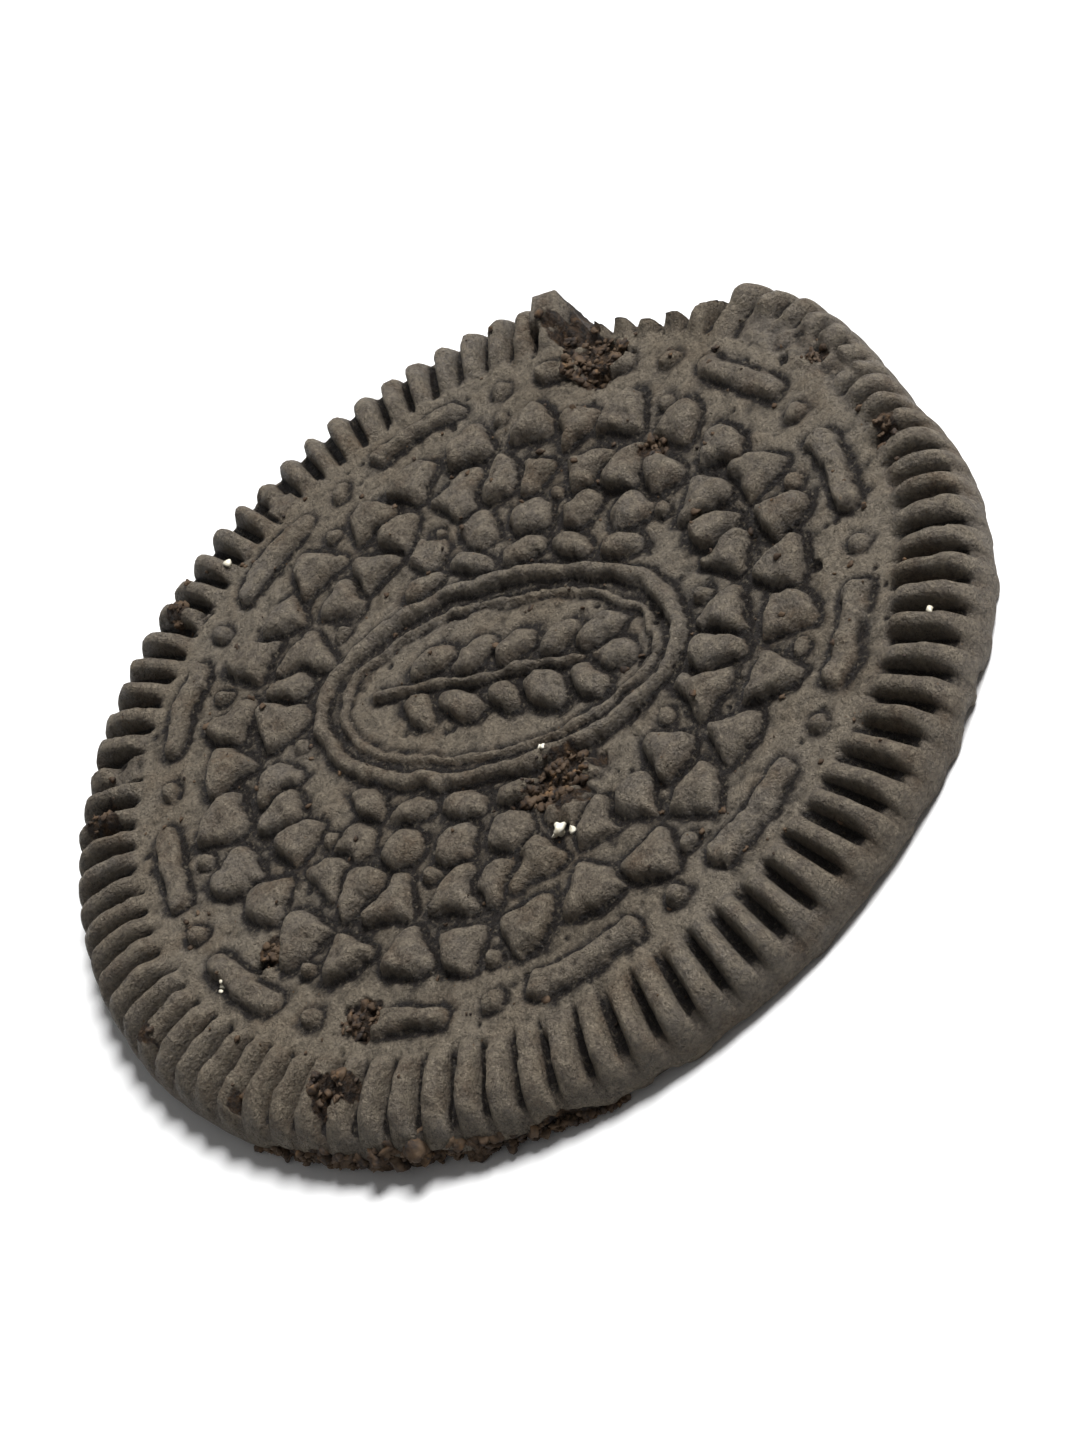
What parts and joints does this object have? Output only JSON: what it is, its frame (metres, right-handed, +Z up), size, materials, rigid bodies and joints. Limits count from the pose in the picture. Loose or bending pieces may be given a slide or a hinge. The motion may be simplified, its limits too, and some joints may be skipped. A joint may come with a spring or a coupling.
{
  "type": "chocolate sandwich cookie wafer",
  "caption": "Round dark chocolate sandwich cookie wafer, moulded face up, with a ridged rim, petal garland and oval medallion, and a piece of rim broken out.",
  "frame": {"origin": "centre of the wafer's box, on its flat underside; the round axis is 0.4 mm towards +X, as the rim is worn back on that side", "axes": "+Z up through the moulded face; the broken-out piece of rim is between +X and +Y, about 37 degrees from +X"},
  "size_m": [0.0442, 0.045, 0.0033],
  "materials": {
    "biscuit": "dry baked dark cocoa biscuit, matte with a faint sheen on the raised shapes, and browner crumb where it is broken"
  },
  "bodies": {
    "root": {"wafer": "biscuit"}
  },
  "joints": []
}
